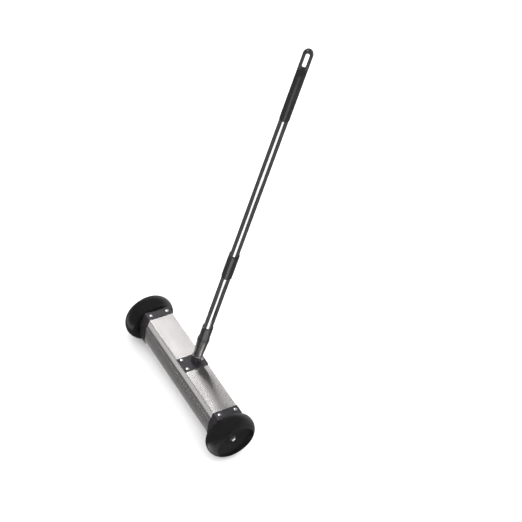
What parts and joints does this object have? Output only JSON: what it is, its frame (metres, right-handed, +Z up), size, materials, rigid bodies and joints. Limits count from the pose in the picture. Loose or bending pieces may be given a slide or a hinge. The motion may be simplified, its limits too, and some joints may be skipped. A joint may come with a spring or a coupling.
{
  "type": "rolling magnetic sweeper",
  "caption": "Push-along magnetic sweeper: a stainless magnet housing on two wheels with a tilting, telescopic handle ending in a slotted grip.",
  "frame": {"origin": "on the floor, in the middle of the footprint box of the sweeper standing with its handle up", "axes": "+X along the wheel axle towards the right wheel, -Y the front of the housing, +Y the side the handle leans to, +Z up"},
  "size_m": [0.4568, 0.1514, 1.1243],
  "materials": {
    "stainless": "brushed along the housing, satin",
    "tube_steel": "polished steel tube",
    "zinc_steel": "bright zinc plate",
    "black_paint": "black powder coat, fine texture, semi-gloss",
    "black_plastic": "moulded black plastic, satin",
    "wheel_plastic": "moulded black plastic, satin",
    "nylon": "natural nylon",
    "ferrite": "sintered grey-black ferrite",
    "plain_steel": "oiled mild steel"
  },
  "bodies": {
    "housing": {"housing_shell": "stainless", "pickup_plate": "stainless", "magnet_yoke": "plain_steel", "bracket_backing_plate": "plain_steel", "magnet_1": "ferrite", "magnet_2": "ferrite", "magnet_3": "ferrite", "magnet_4": "ferrite", "magnet_5": "ferrite", "magnet_6": "ferrite", "yoke_tie_left": "nylon", "thrust_washer_left": "nylon", "end_cap_left": "black_paint", "wheel_washer_left": "black_paint", "axle_bolt_left": "zinc_steel", "axle_nut_left": "zinc_steel", "pivot_spacer_left": "zinc_steel", "cap_rivet_left_front": "zinc_steel", "cap_rivet_left_back": "zinc_steel", "yoke_tie_right": "nylon", "thrust_washer_right": "nylon", "end_cap_right": "black_paint", "wheel_washer_right": "black_paint", "axle_bolt_right": "zinc_steel", "axle_nut_right": "zinc_steel", "pivot_spacer_right": "zinc_steel", "cap_rivet_right_front": "zinc_steel", "cap_rivet_right_back": "zinc_steel", "bracket_rivet_front_left": "zinc_steel", "bracket_rivet_front_right": "zinc_steel", "bracket_rivet_back": "zinc_steel", "pivot_nut": "zinc_steel", "handle_bracket": "black_paint", "pivot_bolt": "black_paint"},
    "wheel_left": {"wheel_left": "wheel_plastic", "wheel_cover_left": "wheel_plastic", "hub_bush_left": "nylon"},
    "wheel_right": {"wheel_right": "wheel_plastic", "wheel_cover_right": "wheel_plastic", "hub_bush_right": "nylon"},
    "lower_handle": {"handle_socket": "black_plastic", "socket_ferrule": "zinc_steel", "clamp_ring": "black_plastic", "socket_screw": "zinc_steel", "lower_tube": "tube_steel", "collet": "nylon"},
    "collar": {"twist_collar": "black_plastic"},
    "guide": {"guide_plug": "nylon"},
    "upper_handle": {"upper_tube": "tube_steel", "hand_grip": "black_plastic"}
  },
  "joints": [
    {"name": "wheel_left_spin", "type": "hinge", "parent": "housing", "child": "wheel_left", "pos_m": [-0.204, -0.01071, 0.065], "axis": [1, 0, 0], "continuous": true},
    {"name": "wheel_right_spin", "type": "hinge", "parent": "housing", "child": "wheel_right", "pos_m": [0.204, -0.01071, 0.065], "axis": [1, 0, 0], "continuous": true},
    {"name": "handle_tilt", "type": "hinge", "parent": "housing", "child": "lower_handle", "pos_m": [0, -0.00131, 0.1314], "axis": [-1, 0, 0], "range_deg": [-15, 82]},
    {"name": "collar_twist", "type": "hinge", "parent": "lower_handle", "child": "collar", "pos_m": [0, 0.02036, 0.45768], "axis": [0, 0.0663, 0.9978], "range_deg": [0, 120]},
    {"name": "tube_slide", "type": "slide", "parent": "lower_handle", "child": "guide", "axis": [0, 0.0663, 0.9978], "range_m": [-0.215, 0.03]},
    {"name": "grip_swivel", "type": "hinge", "parent": "guide", "child": "upper_handle", "pos_m": [0, 0.01857, 0.43074], "axis": [0, 0.0663, 0.9978], "range_deg": [-180, 180]}
  ]
}
